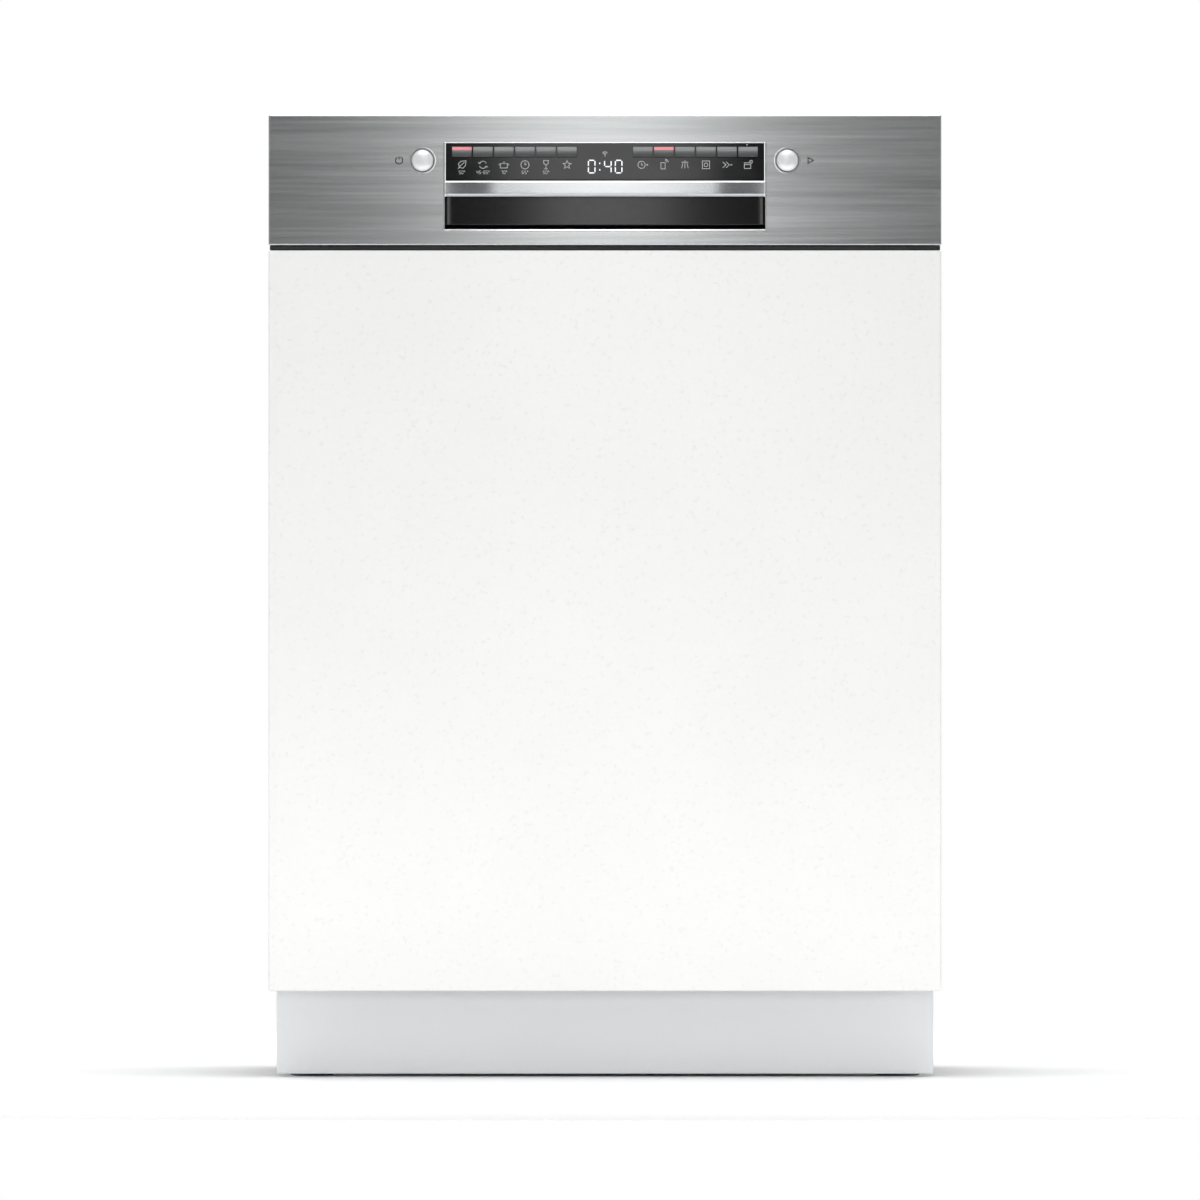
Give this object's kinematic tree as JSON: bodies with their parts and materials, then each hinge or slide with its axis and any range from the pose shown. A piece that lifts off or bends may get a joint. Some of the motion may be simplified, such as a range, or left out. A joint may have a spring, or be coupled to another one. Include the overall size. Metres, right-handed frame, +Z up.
{
  "type": "built in dishwasher",
  "caption": "Built-in dishwasher with a brushed steel control panel, a recessed grip and display window, a white kitchen front, a drop-down door, two pull-out racks and spray arms.",
  "frame": {"origin": "on the floor, under the middle of the machine's overall box", "axes": "+Z up; the front faces -Y; +X to the right as seen from the front"},
  "size_m": [0.598, 0.573, 0.856],
  "materials": {
    "steel": "horizontally brushed stainless steel",
    "tub_steel": "fine satin stainless steel",
    "galvanised": "zinc-coated sheet, dull",
    "white_front": "white satin lacquer on board",
    "plinth_white": "pale grey-white foil on board",
    "black_gloss": "polished black",
    "black_plastic": "fine-grained black",
    "silver_plastic": "silver metallic paint",
    "key_plastic": "satin black with a grey upper edge",
    "grey_plastic": "moulded mid grey",
    "light_plastic": "moulded light grey",
    "rubber": "matt black sealing rubber",
    "rack_wire": "grey plastic-coated wire"
  },
  "bodies": {
    "cabinet": {"tub": "tub_steel", "base_pan": "black_plastic", "side_panel_left": "galvanised", "side_panel_right": "galvanised", "rear_panel": "galvanised", "top_cover": "galvanised", "plinth_panel": "plinth_white", "tub_seal": "rubber", "hinge_bracket_left": "galvanised", "hinge_bracket_right": "galvanised", "sump": "grey_plastic", "circulation_pump": "light_plastic", "water_softener": "light_plastic", "inlet_valve": "light_plastic", "feed_tube": "grey_plastic", "door_spring_left": "galvanised", "door_spring_right": "galvanised"},
    "door": {"furniture_panel": "white_front", "outer_door": "galvanised", "inner_door": "tub_steel", "fascia": "steel", "control_window": "black_gloss", "handle_bar": "silver_plastic", "handle_pocket": "black_plastic", "dispenser_body": "light_plastic", "hinge_arm_left": "galvanised", "hinge_arm_right": "galvanised"},
    "lower_rack": {"lower_rack": "rack_wire"},
    "upper_rack": {"upper_rack": "rack_wire"},
    "upper_rails": {"upper_rail_left": "tub_steel", "upper_rail_right": "tub_steel"},
    "salt_cap": {"salt_cap": "grey_plastic"},
    "filter_cylinder": {"filter_cylinder": "grey_plastic"},
    "lower_spray_arm": {"lower_spray_arm": "grey_plastic"},
    "foot_front_left": {"foot_front_left": "black_plastic"},
    "foot_front_right": {"foot_front_right": "black_plastic"},
    "foot_rear": {"foot_rear": "black_plastic"},
    "detergent_lid": {"detergent_lid": "grey_plastic"},
    "rinse_aid_lid": {"rinse_aid_lid": "grey_plastic"},
    "power_button": {"power_button": "silver_plastic"},
    "start_button": {"start_button": "silver_plastic"},
    "plate_tines": {"plate_tines": "rack_wire"},
    "cutlery_basket": {"cutlery_basket": "grey_plastic"},
    "upper_spray_arm": {"upper_spray_arm": "grey_plastic"},
    "programme_key_1": {"programme_key_1": "key_plastic"},
    "programme_key_2": {"programme_key_2": "key_plastic"},
    "programme_key_3": {"programme_key_3": "key_plastic"},
    "programme_key_4": {"programme_key_4": "key_plastic"},
    "programme_key_5": {"programme_key_5": "key_plastic"},
    "programme_key_6": {"programme_key_6": "key_plastic"},
    "option_key_1": {"option_key_1": "key_plastic"},
    "option_key_2": {"option_key_2": "key_plastic"},
    "option_key_3": {"option_key_3": "key_plastic"},
    "option_key_4": {"option_key_4": "key_plastic"},
    "option_key_5": {"option_key_5": "key_plastic"},
    "option_key_6": {"option_key_6": "key_plastic"},
    "rack_wheel_front_left": {"rack_wheel_front_left": "light_plastic"},
    "rack_wheel_front_right": {"rack_wheel_front_right": "light_plastic"},
    "rack_wheel_rear_left": {"rack_wheel_rear_left": "light_plastic"},
    "rack_wheel_rear_right": {"rack_wheel_rear_right": "light_plastic"}
  },
  "joints": [
    {"name": "door_hinge", "type": "hinge", "parent": "cabinet", "child": "door", "pos_m": [0, -0.25, 0.112], "axis": [1, 0, 0], "range_deg": [0, 90], "deforming": ["door_spring_left", "door_spring_right"]},
    {"name": "lower_rack_slide", "type": "slide", "parent": "cabinet", "child": "lower_rack", "axis": [0, -1, 0], "range_m": [0, 0.158]},
    {"name": "upper_rack_slide", "type": "slide", "parent": "cabinet", "child": "upper_rack", "axis": [0, -1, 0], "range_m": [0, 0.394]},
    {"name": "upper_rails_slide", "type": "slide", "parent": "cabinet", "child": "upper_rails", "axis": [0, -1, 0], "range_m": [0, 0.197]},
    {"name": "rack_wheel_front_left_spin", "type": "hinge", "parent": "lower_rack", "child": "rack_wheel_front_left", "pos_m": [-0.2465, -0.055, 0.1684], "axis": [1, 0, 0], "continuous": true},
    {"name": "rack_wheel_front_right_spin", "type": "hinge", "parent": "lower_rack", "child": "rack_wheel_front_right", "pos_m": [0.2465, -0.055, 0.1684], "axis": [1, 0, 0], "continuous": true},
    {"name": "rack_wheel_rear_left_spin", "type": "hinge", "parent": "lower_rack", "child": "rack_wheel_rear_left", "pos_m": [-0.2465, 0.15, 0.1684], "axis": [1, 0, 0], "continuous": true},
    {"name": "rack_wheel_rear_right_spin", "type": "hinge", "parent": "lower_rack", "child": "rack_wheel_rear_right", "pos_m": [0.2465, 0.15, 0.1684], "axis": [1, 0, 0], "continuous": true},
    {"name": "plate_tines_fold", "type": "hinge", "parent": "lower_rack", "child": "plate_tines", "pos_m": [0, 0.06, 0.2105], "axis": [-1, 0, 0], "range_deg": [0, 90]},
    {"name": "cutlery_basket_lift", "type": "slide", "parent": "lower_rack", "child": "cutlery_basket", "axis": [0, 0, 1], "range_m": [0, 0.168]},
    {"name": "upper_spray_arm_spin", "type": "hinge", "parent": "upper_rack", "child": "upper_spray_arm", "pos_m": [0, 0, 0.526], "axis": [0, 0, 1], "continuous": true},
    {"name": "lower_spray_arm_spin", "type": "hinge", "parent": "cabinet", "child": "lower_spray_arm", "pos_m": [0, 0, 0.173], "axis": [0, 0, 1], "continuous": true},
    {"name": "salt_cap_turn", "type": "hinge", "parent": "cabinet", "child": "salt_cap", "pos_m": [-0.175, 0.06, 0.156], "axis": [0, 0, 1], "range_deg": [0, 180]},
    {"name": "filter_turn", "type": "hinge", "parent": "cabinet", "child": "filter_cylinder", "pos_m": [0, -0.078, 0.156], "axis": [0, 0, 1], "range_deg": [0, 90]},
    {"name": "foot_front_left_adjust", "type": "slide", "parent": "cabinet", "child": "foot_front_left", "axis": [0, 0, -1], "range_m": [-0.038, 0.019]},
    {"name": "foot_front_right_adjust", "type": "slide", "parent": "cabinet", "child": "foot_front_right", "axis": [0, 0, -1], "range_m": [-0.038, 0.019]},
    {"name": "foot_rear_adjust", "type": "slide", "parent": "cabinet", "child": "foot_rear", "axis": [0, 0, -1], "range_m": [-0.038, 0.019]},
    {"name": "detergent_lid_slide", "type": "slide", "parent": "door", "child": "detergent_lid", "axis": [0, 0, 1], "range_m": [0, 0.076]},
    {"name": "rinse_aid_lid_hinge", "type": "hinge", "parent": "door", "child": "rinse_aid_lid", "pos_m": [0.04, -0.2272, 0.4822], "axis": [1, 0, 0], "range_deg": [0, 100]},
    {"name": "power_button_press", "type": "slide", "parent": "door", "child": "power_button", "axis": [0, 1, 0], "range_m": [0, 0.002], "stiffness_N_per_m": 600},
    {"name": "start_button_press", "type": "slide", "parent": "door", "child": "start_button", "axis": [0, 1, 0], "range_m": [0, 0.002], "stiffness_N_per_m": 600},
    {"name": "programme_key_1_press", "type": "slide", "parent": "door", "child": "programme_key_1", "axis": [0, 1, 0], "range_m": [0, 0.0012], "stiffness_N_per_m": 500},
    {"name": "programme_key_2_press", "type": "slide", "parent": "door", "child": "programme_key_2", "axis": [0, 1, 0], "range_m": [0, 0.0012], "stiffness_N_per_m": 500},
    {"name": "programme_key_3_press", "type": "slide", "parent": "door", "child": "programme_key_3", "axis": [0, 1, 0], "range_m": [0, 0.0012], "stiffness_N_per_m": 500},
    {"name": "programme_key_4_press", "type": "slide", "parent": "door", "child": "programme_key_4", "axis": [0, 1, 0], "range_m": [0, 0.0012], "stiffness_N_per_m": 500},
    {"name": "programme_key_5_press", "type": "slide", "parent": "door", "child": "programme_key_5", "axis": [0, 1, 0], "range_m": [0, 0.0012], "stiffness_N_per_m": 500},
    {"name": "programme_key_6_press", "type": "slide", "parent": "door", "child": "programme_key_6", "axis": [0, 1, 0], "range_m": [0, 0.0012], "stiffness_N_per_m": 500},
    {"name": "option_key_1_press", "type": "slide", "parent": "door", "child": "option_key_1", "axis": [0, 1, 0], "range_m": [0, 0.0012], "stiffness_N_per_m": 500},
    {"name": "option_key_2_press", "type": "slide", "parent": "door", "child": "option_key_2", "axis": [0, 1, 0], "range_m": [0, 0.0012], "stiffness_N_per_m": 500},
    {"name": "option_key_3_press", "type": "slide", "parent": "door", "child": "option_key_3", "axis": [0, 1, 0], "range_m": [0, 0.0012], "stiffness_N_per_m": 500},
    {"name": "option_key_4_press", "type": "slide", "parent": "door", "child": "option_key_4", "axis": [0, 1, 0], "range_m": [0, 0.0012], "stiffness_N_per_m": 500},
    {"name": "option_key_5_press", "type": "slide", "parent": "door", "child": "option_key_5", "axis": [0, 1, 0], "range_m": [0, 0.0012], "stiffness_N_per_m": 500},
    {"name": "option_key_6_press", "type": "slide", "parent": "door", "child": "option_key_6", "axis": [0, 1, 0], "range_m": [0, 0.0012], "stiffness_N_per_m": 500}
  ],
  "couplings": [
    {"joint": "lower_rack_slide", "follows": "door_hinge", "m_per_rad": 0.1},
    {"joint": "upper_rack_slide", "follows": "door_hinge", "m_per_rad": 0.25},
    {"joint": "upper_rails_slide", "follows": "door_hinge", "m_per_rad": 0.125},
    {"joint": "rack_wheel_front_left_spin", "follows": "door_hinge", "ratio": 5.5556},
    {"joint": "rack_wheel_front_right_spin", "follows": "door_hinge", "ratio": 5.5556},
    {"joint": "rack_wheel_rear_left_spin", "follows": "door_hinge", "ratio": 5.5556},
    {"joint": "rack_wheel_rear_right_spin", "follows": "door_hinge", "ratio": 5.5556}
  ]
}
